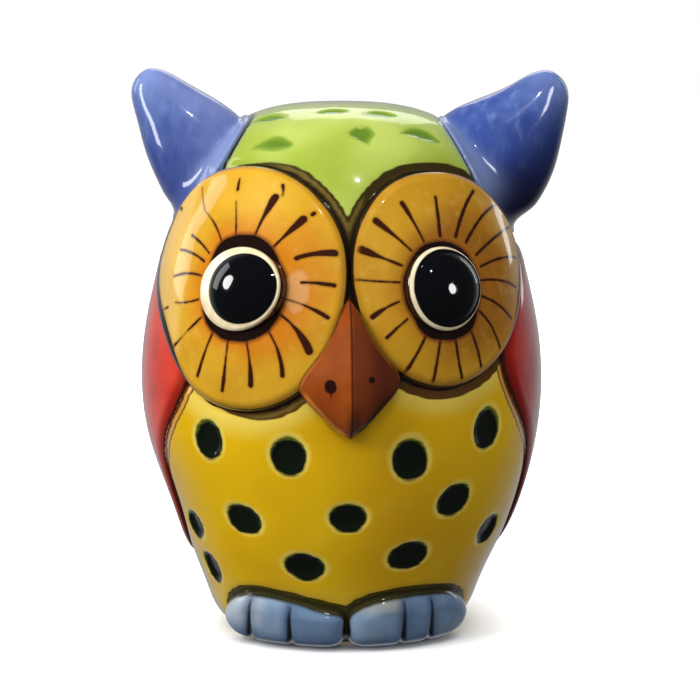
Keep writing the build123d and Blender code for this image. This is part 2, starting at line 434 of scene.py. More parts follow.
def ear_distance(points, name):
    """Distance from an ear's axis, less the radius of its painted root, so negative on the ear's ground."""
    rise, _, start, _ = ear_frame(name)
    gap = points - start
    return np.linalg.norm(gap - (gap @ rise)[..., None] * rise, axis=-1) - EAR_ROOT[name]


def body_marks(points):
    turn, run, depth = chart(points)
    points = surface(turn, run)
    z = points[:, 2]
    marks = {"depth": depth}
    for kind, every in (("disc", 3), ("foot", 3), ("wing", 2)):
        gaps = [loop_distance(turn, run, loops[f"{side}_{kind}"][::every]) for side in ("right", "left")]
        marks[f"{kind}_edge"] = np.minimum(*gaps)
    ear = np.minimum(ear_distance(points, "left_ear"), ear_distance(points, "right_ear"))
    marks["ear_edge"] = np.where(z > 85, ear, 40.0)
    dot_u, dot_v = np.full(len(points), 9.0), np.full(len(points), 9.0)
    places = [(*np.degrees(from_front([(x, zz)])[0, :1]), zz, w, h, t) for x, zz, w, h, t in DOTS]
    places += [(t, zz, 4.9, 4.3, 12 * math.sin(t)) for t, zz in BACK_DOTS]
    for place in places:
        u, v = oval(points, *place)
        nearer = u * u + v * v < dot_u**2 + dot_v**2
        dot_u, dot_v = np.where(nearer, u, dot_u), np.where(nearer, v, dot_v)
    marks["dot_u"], marks["dot_v"], marks["dot_size"] = dot_u, dot_v, np.hypot(dot_u, dot_v)
    leaves = np.full(len(points), 50.0)
    for item in LEAVES:
        leaves = np.minimum(leaves, leaf(points, *item))
    marks["leaves"] = leaves
    # The crown's lower edge: hidden by the discs in front, scalloped to a point down the nape behind.
    back = np.abs(turn) / math.pi
    hem = 117 - 19 * step(back, 0.5, 1.0) - 2.2 * np.abs(np.sin(back * 5 * math.pi))
    hem = np.where(back < 0.2, 88.0, hem)
    marks["crown"] = hem - z
    # How wide the brown band outside the eye discs is: full above and below, thin at the flanks.
    disc_centre = np.where(points[:, 0] < -1, -23.5, 21.5)
    away = np.degrees(np.arctan2(z - 93, points[:, 0] - disc_centre))
    own_right = points[:, 0] < -1
    top = np.where(own_right, step(away, -20, 20) * step(away, 105, 60), step(away, 35, 70))
    bottom = np.where(own_right, step(away, -110, -80) * step(away, -15, -40), step(away, -20, -60))
    marks["band"] = np.where(points[:, 1] < 0, 0.25 + 0.75 * np.clip(top + bottom, 0, 1), 0.2)
    return marks


def body_lift(points):
    """How far the hand-finished surface stands off the plain turned one."""
    z = points[:, 2]
    marks = body_marks(points)
    lift = -0.25 + 0.22 * ripple(points, 46) * step(z, 2, 12)
    dots = DOT_SCALE * (marks["dot_size"] - 1)
    lift -= 1.25 * step(dots, 0.5, -1.7)
    lift -= 0.6 * step(marks["leaves"], 0.7, -1.6)
    lift -= 0.55 * np.exp(-((marks["disc_edge"] - 0.6) / 1.3) ** 2)
    lift -= 0.45 * np.exp(-((marks["wing_edge"] - 0.5) / 1.3) ** 2)
    lift -= 0.35 * np.exp(-((marks["foot_edge"] - 0.7) / 1.2) ** 2)
    lift -= 0.3 * np.exp(-((marks["ear_edge"] - 0.2) / 0.9) ** 2) * step(z, 100, 106)
    return lift


TURNS, RUNS = ((400, 208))


def build_body():
    turn = np.linspace(-math.pi, math.pi, TURNS, endpoint=False)
    turns, runs = np.meshgrid(turn, np.linspace(0, RUN[-1], RUNS)[:-1])
    lift = body_lift(surface(turns, runs).reshape(-1, 3)).reshape(runs.shape)
    outer = surface(turns, runs, lift * step(runs, 0, 3))
    # The underside: from the foot ring's edge in through the seat and the hole. Then the inner wall.
    section = [(26.2, 0), (22.0, 0), (SEAT_RADIUS + 0.3, 0.3), (SEAT_RADIUS, 0.9), (SEAT_RADIUS, SEAT_DEPTH)]
    section += [(HOLE_RADIUS + 0.2, SEAT_DEPTH), (HOLE_RADIUS, SEAT_DEPTH + 0.3), (HOLE_RADIUS, FLOOR_TOP)]
    below = [np.stack([r * np.sin(turn), -r * np.cos(turn), np.full(TURNS, z)], -1) for r, z in section]
    for ring, squash in zip(below, (DEPTH_RATIO, 0.97)):
        ring[:, 1] *= squash
    within = [surface(turn, r, -WALL) for r in np.linspace(run_at(INNER_START), RUN[-1], 25)[:-1]]
    points, faces = rings_to_mesh([*within[::-1], *below[::-1], *outer])
    body = make_object("body", points, faces, {})
    slot_cut(body)
    place = np.zeros(len(body.data.vertices) * 3)
    body.data.vertices.foreach_get("co", place)
    add_marks(body.data, body_marks((place.reshape(-1, 3) - AXIS) * 1000))
    return body


def slot_cut(body):
    """Cuts the coin slot through the upper back, with rounded ends."""
    angle = np.linspace(0, 2 * math.pi, 48, endpoint=False)
    radius, straight = SLOT_HEIGHT / 2, SLOT_LENGTH / 2 - SLOT_HEIGHT / 2
    x = radius * np.cos(angle) + np.where(np.cos(angle) >= 0, straight, -straight)
    z = SLOT_Z + radius * np.sin(angle)
    near, far = (np.stack([x, np.full(48, y), z], -1) for y in (25.0, 60.0))
    points, faces = rings_to_mesh([near, far])
    cutter = make_object("slot_cutter", points, faces, {})
    cut = body.modifiers.new("slot", "BOOLEAN")
    cut.operation, cut.object, cut.solver = "DIFFERENCE", cutter, "EXACT"
    graph = bpy.context.evaluated_depsgraph_get()
    mesh = bpy.data.meshes.new_from_object(body.evaluated_get(graph))
    body.modifiers.clear()
    body.data = mesh
    bpy.data.objects.remove(cutter)


# ---------------------------------------------------------------- the eye discs and their brush strokes

# Strokes round each eye: angle, where it starts and ends out from the eye's middle, the angle it bends by,
# and its half width at its start and end.
RIGHT_STROKES = [
    (96, 12.5, 21.5, 2, 0.22, 0.16), (98, 24.8, 27.6, 0, 0.42, 0.22), (73, 12.5, 24.2, -1, 0.30, 1.00),
    (49, 12.5, 23.9, 1, 0.30, 0.95), (29, 17.5, 26.5, -4, 0.55, 0.85), (9, 17.5, 25.2, -2, 0.35, 0.55),
    (-7, 13.0, 25.0, -5, 0.16, 0.55), (-23, 12.5, 25.0, -11, 0.30, 1.00), (-43, 12.5, 25.3, -12, 0.25, 0.55),
    (-69, 12.5, 24.5, -6, 0.25, 0.70), (-91, 12.3, 25.6, -3, 0.24, 0.55), (-113, 12.0, 24.5, 0, 0.26, 0.45),
    (-138, 12.2, 17.5, -1, 0.30, 0.26), (-139, 17.5, 24.5, -1, 0.10, 0.34),
    (-161, 11.2, 19.9, -5, 0.24, 0.16),
    (168, 11.0, 21.2, 7, 0.26, 0.32), (150, 11.8, 21.7, 6, 0.28, 0.34), (138, 12.0, 20.3, 4, 0.28, 0.34),
    (116, 12.4, 22.6, 8, 0.24, 0.18), (124, 22.6, 30.1, -1, 0.16, 0.12), (69, 25.4, 27.7, 3, 0.20, 0.34),
    (49, 26.3, 26.9, 0, 0.42, 0.42), (140, 31.0, 34.0, 2, 0.40, 0.20), (-165, 23.5, 26.5, 0, 0.26, 0.20),
]
LEFT_STROKES = [
    (172, 11.9, 25.0, -2, 0.24, 0.24), (152, 12.2, 22.5, -1, 0.30, 0.95), (131, 12.0, 23.2, 0, 0.28, 0.80),
    (111, 11.9, 22.6, 0, 0.28, 0.60), (88, 12.3, 22.1, -1, 0.48, 0.42), (67, 12.9, 27.7, -8, 0.48, 0.42),
    (52, 13.1, 30.8, -10, 0.40, 0.30), (33, 12.9, 32.2, -5, 0.36, 0.30), (19, 12.6, 29.3, -6, 0.32, 0.32),
    (3, 11.5, 26.2, -6, 0.30, 0.30), (-17, 11.1, 24.1, -6, 0.34, 0.34), (-36, 11.3, 23.3, -9, 0.34, 0.34),
    (-61, 12.4, 22.8, -4, 0.34, 0.36), (-83, 13.0, 23.4, 2, 0.36, 0.36), (-101, 13.6, 23.8, 0, 0.34, 0.40),
    (-118, 13.8, 24.1, -2, 0.34, 0.44), (-145, 13.2, 19.8, 1, 0.30, 0.46), (-166, 12.8, 20.1, 4, 0.30, 0.62),
]
EYE_CENTRES = {"right": (math.radians(RIGHT_EYE[0]), run_at(RIGHT_EYE[1])),
               "left": (math.radians(LEFT_EYE[0]), run_at(LEFT_EYE[1]))}


def disc_height(gap, turn, run):
    """A pad with a rounded rim and a low swelling towards its middle."""
    return (DISC_RELIEF - 1.2 + 1.2 * step(gap, 0, 15) + PAD_ROOT) * rounded(gap, 3.2, 2.0) - PAD_ROOT


def eye_frame(side):
    """An eye's middle on its disc, and the directions across and up there."""
    turn, run = EYE_CENTRES[side]
    across = surface(turn + 0.01, run) - surface(turn - 0.01, run)
    up = surface(turn, run + 0.5) - surface(turn, run - 0.5)
    return surface(turn, run, DISC_RELIEF), across / np.linalg.norm(across), up / np.linalg.norm(up)


def stroke_distance(flat, angle, strokes):
    """Distance to an eye's brush strokes, negative in the ink, in the plane of the eye."""
    ink = np.full(len(flat), 50.0)
    for degrees, start, end, bend, width0, width1 in strokes:
        t = np.linspace(0, 1, 12)
        r = start + (end - start) * t
        swing = np.radians(degrees + bend * t**1.6)
        line = np.stack([r * np.cos(swing), r * np.sin(swing)], -1)
        width = width0 + (width1 - width0) * step(t, 0.35, 0.95)
        off = angle - math.radians(degrees + bend / 2)
        near = np.abs((off + math.pi) % (2 * math.pi) - math.pi) < 0.5
        ink[near] = np.minimum(ink[near], line_distance(flat[near], line, width=width))
    return ink


def build_disc(side):
    loop = loops[f"{side}_disc"]
    points, faces, turn, run = pad(loop, np.array(EYE_CENTRES[side]), disc_height, 120, 1.6)
    middle, across, up = eye_frame(side)
    a, b = (points - middle) @ across, (points - middle) @ up
    reach, angle = np.linalg.norm(points - middle, axis=-1), np.arctan2(b, a)
    flat = np.stack([reach * np.cos(angle), reach * np.sin(angle)], -1)
    # The dark surround of the eye, deeper above and below it.
    sine = np.sin(angle)
    if side == "right":
        strokes = RIGHT_STROKES
        surround = np.hypot(a - 2.0, b + 0.2) - 11.4
        surround -= 2.1 * step(sine, 0.45, 1.0) + 1.7 * step(sine, -0.2, -0.95)
        surround -= 0.3 * step(np.cos(angle), 0.3, 1)
    else:
        strokes = LEFT_STROKES
        surround = np.hypot(a + 0.2, b + 0.7) - 10.9
        surround -= 0.7 * step(sine, 0.4, 1.0) + 2.1 * step(sine, -0.5, -0.98)
    # The outline is wider on the flanks, where it is seen edge on.
    edge = rim_gap(turn, run, loop[::3]) - 3.6 * step(np.abs(points[:, 0]), 38, 46)
    marks = {"ink": stroke_distance(flat, angle, strokes), "surround": surround, "reach": reach, "edge": edge,
             "across": a, "height": b}
    return make_object(f"{side}_eye_disc_pad", points, faces, marks)


# ---------------------------------------------------------------- eyeballs

EYE_SECTION = [
    (0, 4.9), (2, 4.82), (4, 4.5), (6, 3.9), (7.6, 3.2), (8.8, 2.4), (9.3, 2.0), (9.6, 1.85), (10.0, 1.75),
    (10.5, 1.55), (10.9, 1.15), (11.2, 0.5), (11.35, -0.3), (11.4, -1.2), (11.4, -2.5),
]


# Each eye's stretch across and up, the middles of its ring and its pupil, and how much wider its ring is.
EYE_SHAPES = {
    "right": ((1.03, 0.95), (2.0, -0.4), (3.5, -0.4), 0.0),
    "left": ((0.91, 0.95), (-0.4, -0.9), (0.0, -0.9), 1.0),
}


def build_eye(side):
    middle, across, up = eye_frame(side)
    out = np.cross(across, up)
    stretch, ring, pupil, widen = EYE_SHAPES[side]
    angle = np.linspace(0, 2 * math.pi, 160, endpoint=False)
    wave = 1 + 0.012 * np.sin(2 * angle + 0.6) + 0.008 * np.sin(3 * angle + 1.1)
    rings, radii = [], []
    for r, h in curve(EYE_SECTION, 60)[1:]:
        shift = np.array(ring) + np.subtract(pupil, ring) * (1 - step(r, 9.6, 11.2))
        a = r * np.cos(angle) * wave * stretch[0] + shift[0]
        b = r * np.sin(angle) * wave * stretch[1] + shift[1]
        rings.append(middle + a[:, None] * across + b[:, None] * up + (h - 0.2) * out)
        radii.append(np.full(len(angle), r - widen * min(1.0, r / 9.0)))
    points, faces = rings_to_mesh(rings)
    radius = np.r_[np.concatenate(radii), 0, 11.0]
    marks = {"radius": radius, "rim": radius + widen - 11.0}
    return make_object(f"{side}_eyeball_dome", points, faces, marks)


# ---------------------------------------------------------------- beak, wings, feet, ears


def build_beak():
    cheeks, crest = curve(CHEEKS, 80), curve(CREST, 80)

    def height(gap, turn, run):
        point = surface(turn, run)
        x, z = point[..., 0] + 0.45, point[..., 2]
        cheek = np.clip(1 - np.abs(x) / np.interp(z, cheeks[:, 0], cheeks[:, 1]), 0, 1)
        ridge = np.interp(z, crest[:, 0], crest[:, 1]) / 10
        wall = BEAK_WALL * (0.35 + 0.65 * step(BEAK_TOP - z, 0, 9)) * rounded(gap, 1.8, 2.0)
        return wall - PAD_ROOT + BEAK_RELIEF * ridge * cheek**0.92

    points, faces, turn, run = pad(loops["beak"], from_front([BEAK_CENTRE])[0], height, 90)
    x, z = points[:, 0], points[:, 2]
    # Two nostrils, the right one with a drip of paint below it.
    right_one = np.hypot(x + 5.4, z - 71.8) - 1.35 - 0.35 * np.clip(71.8 - z, 0, 2)
    left_one = np.hypot(x - 4.6, z - 73.0) - 0.8
    drip = np.abs(x + 5.3) - 0.75 * (1 - (71.6 - z) / 3.2)
    drip = np.where((z < 71.8) & (z > 68.4), drip, 50.0)
    nostril = np.minimum.reduce([right_one, left_one, drip])
    marks = {"x": x, "z": z, "gap": rim_gap(turn, run, loops["beak"][::2]), "nostril": nostril}
    return make_object("beak_diamond", points, faces, marks)


def wing_height(gap, turn, run):
    return (WING_RELIEF + PAD_ROOT) * rounded(gap, 4.5, 2.0) - PAD_ROOT


def build_wing(side):
    loop = loops[f"{side}_wing"]
    points, faces, turn, run = pad(loop, loop.mean(0), wing_height, 100)
    return make_object(f"{side}_wing_relief", points, faces, {"gap": rim_gap(turn, run, loop[::2])})


def build_foot(side):
    loop = loops[f"{side}_foot"]
    grooves = RIGHT_TOE_GROOVES if side == "right" else LEFT_TOE_GROOVES

    def toe_gap(turn, run):
        """Distance to the nearest groove between toes."""
        x = np.sin(turn) * (radius_at(run) + FOOT_RELIEF)
        return np.minimum(*(np.abs(x - g - 0.06 * (run - 9) * np.sign(g)) for g in grooves))

    def height(gap, turn, run):
        z = np.interp(run, RUN, outline[:, 1])
        top = FOOT_RELIEF * (0.82 + 0.18 * step(z, 14, 6)) * (0.25 + 0.75 * step(z, 0.0, 5.0))
        groove = np.exp(-((toe_gap(turn, run) / 0.75) ** 2))
        return (top + PAD_ROOT) * rounded(gap, 5.0, 2.1) - PAD_ROOT - 0.7 * groove * step(gap, 0.4, 2.2)

    centre = np.array([loop[:, 0].mean(), run_at(7.2)])
    points, faces, turn, run = pad(loop, centre, height, 80)
    points[:, 2] = np.maximum(points[:, 2], 0.12)
    marks = {"gap": rim_gap(turn, run, loop[::2]), "toe": toe_gap(turn, run)}
    marks["x"], marks["z"] = points[:, 0], points[:, 2]
    return make_object(f"{side}_foot_pad", points, faces, marks)


def drop_to_body(points, direction):
    """Moves points along direction until they lie on the turned body."""
    low_t, high_t = np.full(len(points), -60.0), np.full(len(points), 60.0)
    for _ in range(40):
        middle = (low_t + high_t) / 2
        p = points + middle[:, None] * direction
        reach = np.interp(np.minimum(p[:, 2], TOP - 0.01), outline[:, 1], outline[:, 0])
        within = (np.hypot(p[:, 0], p[:, 1] / DEPTH_RATIO) < reach) & (p[:, 2] < TOP)
        low_t, high_t = np.where(within, low_t, middle), np.where(within, middle, high_t)
    return points + high_t[:, None] * direction


def build_ear(name):
    rise, across, start, sections = ear_frame(name)
    back = np.array([0.0, 1.0, 0.0])
    angle = np.linspace(0, 2 * math.pi, 144, endpoint=False)
    horn = []
    for along, middle, half_width, half_depth in curve(sections, 90):
        bulge = 1 + 0.035 * np.sin(2 * angle + 0.8) * min(1, half_width / 8)
        wide, deep = half_width * np.cos(angle) * bulge, half_depth * np.sin(angle) * bulge
        centre = along * rise + middle * across + np.array([0, EAR_Y, 0])
        horn.append(centre + wide[:, None] * across + deep[:, None] * back)
    # The root: a concave fillet from a ring on the body up into the horn.
    circle = np.cos(angle)[:, None] * across + np.sin(angle)[:, None] * back
    circle *= EAR_ROOT[name] - (0.4 if name == "left_ear" else 1.4)
    root, inner = (drop_to_body(start + share * circle + 100 * rise, -rise) for share in (1.0, 0.9))
    slope = inner - root
    slope /= np.linalg.norm(slope, axis=1, keepdims=True)
    top, lead = horn[EAR_JOIN], horn[EAR_JOIN + 2] - horn[EAR_JOIN]
    lead /= np.linalg.norm(lead, axis=1, keepdims=True)
    span = np.linalg.norm(top - root, axis=1, keepdims=True)
    p1, p2 = root + slope * span * 0.38, top - lead * span * 0.42
    fillet = []
    for t in np.linspace(0, 1, 22)[:-1]:
        fillet.append((1 - t) ** 3 * root + 3 * (1 - t) ** 2 * t * p1 + 3 * (1 - t) * t * t * p2 + t**3 * top)
    rings = [root - 1.2 * rise, *fillet, *horn[EAR_JOIN:]]
    points, faces = rings_to_mesh(rings)
    share = np.r_[np.repeat(np.r_[0, np.linspace(0, 1, len(rings) - 1)], len(angle)), 0, 1]
    # inward is 1 on the ear's inner side and -1 on its outer side.
    inward = np.cos(np.r_[np.tile(angle, len(rings)), 0, 0])
    marks = {"along": points @ rise, "share": share, "inward": inward}
    wave = 0.18 * ripple(points, 30) * step(share, 0.1, 0.5)
    return make_object(f"{name}_horn", points + wave[:, None] * np.array([0.5, -0.6, 0.5]), faces, marks)


# ---------------------------------------------------------------- glazes


def rgb(red, green, blue):
    """A colour given as 0-255 values, as the linear one shaders use."""
    shares = (value / 255 for value in (red, green, blue))
    return (*[s / 12.92 if s < 0.04045 else ((s + 0.055) / 1.055) ** 2.4 for s in shares], 1.0)


class Field:
    """A number that varies over a surface, worked out by a glaze's shader nodes."""

    def __init__(self, glaze, socket):
        self.glaze, self.socket = glaze, socket

    def __add__(self, other):
        return self.glaze.math("ADD", self, other)

    def __sub__(self, other):
        return self.glaze.math("SUBTRACT", self, other)

    def __rsub__(self, other):
        return self.glaze.math("SUBTRACT", other, self)

    def __mul__(self, other):
        return self.glaze.math("MULTIPLY", self, other)

    def __truediv__(self, other):
        return self.glaze.math("DIVIDE", self, other)

    def __pow__(self, other):
        return self.glaze.math("POWER", self, other)

    def __abs__(self):
        return self.glaze.math("ABSOLUTE", self)


class Glaze:
    """A glazed and painted finish: layers of colour over a ground, each under a mask, in 0-255 values."""

    def __init__(self, name, ground):
        self.material = bpy.data.materials.new(name)
        self.material.use_nodes = True
        self.tree = self.material.node_tree
        self.tree.nodes.clear()
        self.place = self.node("ShaderNodeTexCoord").outputs["Object"]
        self.colour = self.node("ShaderNodeRGB").outputs[0]
        self.colour.default_value = rgb(*ground)

    def node(self, kind, **settings):
        made = self.tree.nodes.new(kind)
        for key, value in settings.items():
            setattr(made, key, value)
        return made

    def put(self, socket, value):
        if isinstance(value, Field):
            value = value.socket
        if isinstance(value, bpy.types.NodeSocket):
            self.tree.links.new(value, socket)
        else:
            socket.default_value = value

    def math(self, operation, *values):
        made = self.node("ShaderNodeMath", operation=operation)
        for socket, value in zip(made.inputs, values):
            self.put(socket, value)
        return Field(self, made.outputs[0])

    def mark(self, name):
        """One of the mesh's painted marks."""
        return Field(self, self.node("ShaderNodeAttribute", attribute_name=name).outputs["Fac"])

    def noise(self, size, detail=2.0, rise=1.0):
        """Unevenness of about -1 to 1 with blotches about size mm across, taller for a smaller rise."""
        mapping = self.node("ShaderNodeMapping")
        self.put(mapping.inputs["Vector"], self.place)
        self.put(mapping.inputs["Scale"], (1, 1, rise))
        made = self.node("ShaderNodeTexNoise")
        self.put(made.inputs["Vector"], mapping.outputs[0])
        self.put(made.inputs["Scale"], 1000 / size)
        self.put(made.inputs["Detail"], detail)
        return (Field(self, made.outputs["Fac"]) - 0.5) * 3.0

    def below(self, value, limit, soft=0.25):
        """1 where value is under limit, falling to 0 over a soft edge."""
        made = self.node("ShaderNodeMapRange", interpolation_type="SMOOTHSTEP")
        for socket, setting in zip(made.inputs, (value, limit - soft, limit + soft, 1.0, 0.0)):
            self.put(socket, setting)
        return Field(self, made.outputs[0])

    def above(self, value, limit, soft=0.25):
        return 1.0 - self.below(value, limit, soft)

    def near(self, value, middle, half, soft=0.25):
        """1 where value is within half of middle."""
        return self.below(abs(value - middle), half, soft)

    def hand(self, value, amount, size):
        """A distance with the wobble of a brushed edge."""
        return value + (self.noise(size, 1.0) * amount + self.noise(size / 5, 1.0) * (amount * 0.3))

    def layer(self, colour, mask, strength=1.0):
        made = self.node("ShaderNodeMix", data_type="RGBA")
        self.put(made.inputs[0], mask * strength)
        self.put(made.inputs[6], self.colour)
        self.put(made.inputs[7], rgb(*colour))
        self.colour = made.outputs[2]

    def blotches(self, colour, strength, size, limit, soft=0.6, detail=2.0, within=None, rise=1.0):
        """A layer where unevenness of a size in mm is over a limit, and within a mask if one is given."""
        mask = self.above(self.noise(size, detail, rise), limit, soft)
        self.layer(colour, mask if within is None else mask * within, strength)

    def finish(self, roughness=0.16, coat=1.0, bump=0.25, matt=None, clear_below=False):
        rough = self.noise(14) * 0.03 + roughness
        if matt is not None:
            rough = rough + matt * 0.6
            coat = (1.0 - matt) * coat
        uneven = self.node("ShaderNodeBump")
        for name, value in (("Strength", bump), ("Distance", 0.0003),
                            ("Height", self.noise(9, 1.0) * 0.7 + self.noise(2.2, 1.0) * 0.06)):
            self.put(uneven.inputs[name], value)
        shader = self.node("ShaderNodeBsdfPrincipled")
        for name, value in (("Base Color", self.colour), ("Roughness", rough), ("IOR", 1.4),
                            ("Coat Weight", coat), ("Coat Roughness", 0.035), ("Coat IOR", 1.5),
                            ("Normal", uneven.outputs[0]), ("Coat Normal", uneven.outputs[0])):
            self.put(shader.inputs[name], value)
        shown = shader.outputs[0]
        if clear_below:
            mix = self.node("ShaderNodeMixShader")
            self.put(mix.inputs[0], self.node("ShaderNodeNewGeometry").outputs["Backfacing"])
            self.put(mix.inputs[1], shown)
            self.put(mix.inputs[2], self.node("ShaderNodeBsdfTransparent").outputs[0])
            shown = mix.outputs[0]
        self.put(self.node("ShaderNodeOutputMaterial").inputs[0], shown)
        return self.material


def body_glaze():
    g = Glaze("body_glaze", (234, 188, 10))
    split = g.node("ShaderNodeSeparateXYZ")
    g.put(split.inputs[0], g.place)
    east, _, height = (Field(g, output) * 1000.0 for output in split.outputs)
    # Thinner and thicker glaze at random, then painted shade on the owl's left side low down, away from the
    # light.
    g.blotches((208, 152, 2), 0.55, 30, 0.15, 0.7)
    shade = g.near(east, 16.0, 14.0, 16.0) * g.below(height, 62.0, 22.0) * g.above(height, 22.0, 14.0)
    g.layer((186, 130, 6), shade, 0.36)
    g.blotches((236, 200, 50), 0.25, 9, 0.5, 0.5, 3.0)
    disc = g.mark("disc_edge")
    # A painted highlight along the belly's top, where it rolls under the eye discs.
    g.layer((240, 222, 110), g.below(disc, 5.5, 3.0) * g.below(height, 84.0, 6.0), 0.55)
    g.layer((216, 196, 90), g.below(height, 14.0, 6.0), 0.4)
    # Stamped dots. Between two dots only dot_size is right, as the other two marks jump there.
    across, up = g.mark("dot_u"), g.mark("dot_v")
    size = g.math("MAXIMUM", g.math("SQRT", across * across + up * up), g.mark("dot_size") - 0.2)
    dots = g.hand((size - 1.0) * DOT_SCALE, 0.2, 6.0)
    g.layer((240, 218, 104), g.below(dots, 0.95, 0.6), 0.62)
    g.layer((104, 116, 30), g.below(dots, 0.0, 0.22))
    g.layer((12, 20, 8), g.below(dots + up * 0.6, -0.15, 0.4))
    # Wing edges: a double line.
    wing = g.hand(g.mark("wing_edge"), 0.2, 9.0)
    for middle, half in ((0.3, 0.55), (2.5, 0.32)):
        g.layer((92, 44, 14), g.near(wing, middle, half))
    g.layer((196, 120, 20), g.below(wing, 2.4, 0.3) * g.above(wing, 0.7, 0.3), 0.6)
    # The crown, with leaf-shaped dents.
    crown = g.hand(g.mark("crown"), 0.5, 8.0)
    green = g.below(crown, 0.0, 0.3)
    g.layer((154, 172, 58), green)
    g.blotches((196, 210, 110), 0.65, 26, 0.1, within=green)
    g.blotches((128, 160, 40), 0.4, 11, 0.55, 0.5, 3.0, green)
    leaves = g.hand(g.mark("leaves"), 0.2, 4.0)
    g.layer((104, 140, 34), green * g.below(leaves, 0.1, 0.6), 0.85)
    g.layer((78, 112, 28), green * g.below(leaves, -0.9, 0.8), 0.6)
    g.layer((60, 56, 18), g.near(crown, 0.0, 0.55) * g.above(disc, 3.4, 0.4))
    # Ground of the ears.
    ear = g.hand(g.mark("ear_edge"), 0.15, 8.0)
    g.layer((84, 98, 104), g.below(ear, 0.0, 0.3))
    g.layer((84, 104, 150), g.below(ear, -1.0, 0.8), 0.8)
    g.layer((30, 28, 20), g.near(ear, 0.0, 0.5, 0.22))
    # Bands round the eye discs, brown with a lighter olive middle.
    disc = g.hand(disc, 0.07, 9.0)
    band = g.mark("band")
    width = band * 2.7
    g.layer((58, 46, 16), g.below(disc - width, 0.0))
    g.layer((92, 58, 18), g.below(disc - width, -0.2) * g.below(height, 84.0, 3.0))
    olive = g.below(abs(disc - width * 0.56), 0.45, 0.3) * g.above(band, 0.7, 0.2)
    g.layer((116, 98, 40), olive * g.below(east, 1.0, 1.0), 0.8)
    g.layer((30, 20, 10), g.below(disc, 0.45, 0.2))
    # Band over the feet.
    foot = g.hand(g.mark("foot_edge"), 0.07, 8.0)
    lowest = g.below(height, 24.0, 1.0)
    g.layer((52, 46, 16), g.below(foot, 1.6, 0.3) * lowest)
    g.layer((96, 84, 26), g.near(foot, 0.9, 0.3) * lowest, 0.5)
    # White inside, and bare clay where the ring stands on the ground.
    g.layer((226, 222, 208), g.above(g.mark("depth"), 3.2, 0.3))
    bare = g.below(height, 0.9, 0.3)
    g.layer((206, 186, 158), bare)
    return g.finish(matt=bare)


def disc_glaze(side):
    # The owl's right disc faces the light: its ground and orange are painted lighter than the left one's, which
    # is painted in shade.
    lit_side = side == "right"
    g = Glaze(f"{side}_disc_glaze", (212, 160, 36) if lit_side else (190, 140, 30))
    reach, across = g.mark("reach"), g.mark("across")
    g.blotches((222, 176, 58), 0.5, 16, 0.2)
    g.blotches((186, 124, 22), 0.45, 9, 0.3, detail=3.0)
    glow = reach - across * 0.3 + g.noise(10) * 3.0
    g.layer((204, 112, 16) if lit_side else (150, 88, 20), g.below(glow, 16.5, 5.0), 0.85)
    if lit_side:
        # A painted reflection as a pale patch beside the eye, and a painted sheen along the paler outer edge.
        reflection_patch = ((across - 16.2) / 3.0) ** 2.0 + ((g.mark("height") - 0.4) / 5.4) ** 2.0
        g.layer((222, 168, 110), g.below(g.hand(reflection_patch, 0.2, 3.0), 0.9, 0.3), 0.6)
        g.layer((242, 204, 120), g.below(across, -17.0, 2.0), 0.5)
    g.blotches((232, 190, 100), 0.25, 3.2, 0.5, 0.4, within=g.above(reach, 15, 3))
    ink = g.hand(g.mark("ink"), 0.1, 2.2)
    g.layer((120, 66, 20), g.below(ink, 0.25, 0.35), 0.5)
    g.layer((56, 22, 8), g.below(ink, 0.0, 0.14))
    surround = g.hand(g.mark("surround"), 0.3, 5.0)
    g.layer((110, 50, 14), g.below(surround, 0.6, 0.6), 0.8)
    g.layer((26, 12, 8), g.below(surround, 0.0))
    edge = g.hand(g.mark("edge"), 0.12, 7.0)
    g.layer((160, 108, 26), g.below(edge, 1.9, 0.7), 0.5)
    g.layer((34, 22, 10), g.below(edge, 0.95, 0.2))
    return g.finish()


def eye_glaze():
    g = Glaze("eye_glaze", (226, 212, 176))
    g.blotches((186, 164, 116), 0.5, 4, 0.3, 0.5)
    g.layer((26, 12, 8), g.above(g.mark("rim"), 0.0, 0.12))
    g.layer((5, 6, 9), g.below(g.hand(g.mark("radius"), 0.08, 4.0), 9.3, 0.12))
    return g.finish(roughness=0.08, bump=0.08)


def beak_glaze():
    g = Glaze("beak_glaze", (136, 60, 14))
    x, z, gap = (g.mark(name) for name in ("x", "z", "gap"))
    g.blotches((162, 84, 22), 0.5, 8, 0.2, detail=3.0)
    shaded = g.above(g.hand(x, 0.3, 6.0), 0.3, 0.35)
    g.layer((104, 44, 18), shaded, 0.8)
    g.layer((66, 22, 8), shaded * g.above(x, 5.0, 3.0), 0.7)
    # Painted shade along the middle under the beak's tip.
    g.layer((70, 30, 12), g.below(z, 66.0, 3.0) * g.near(x, 0.0, 1.6, 1.0), 0.7)
    lower = g.below(z, 69.0, 1.0)
    # A painted highlight along the lower edge of the owl's right facet.
    g.layer((206, 130, 52), g.near(gap, 1.9, 0.4, 0.4) * g.below(x, -2.0, 0.6) * lower, 0.7)
    # Painted shade along the lower edge of the owl's left facet.
    g.layer((56, 22, 8), g.below(gap, 2.4, 0.4) * g.above(x, 1.0, 0.8) * lower, 0.9)
    g.layer((50, 22, 10), g.near(x, -0.2, 0.28), 0.8)
    g.layer((34, 12, 6), g.below(g.hand(g.mark("nostril"), 0.1, 2.0), 0.0, 0.2))
    g.layer((44, 18, 8), g.below(g.hand(gap, 0.15, 5.0), 0.9))
    return g.finish()


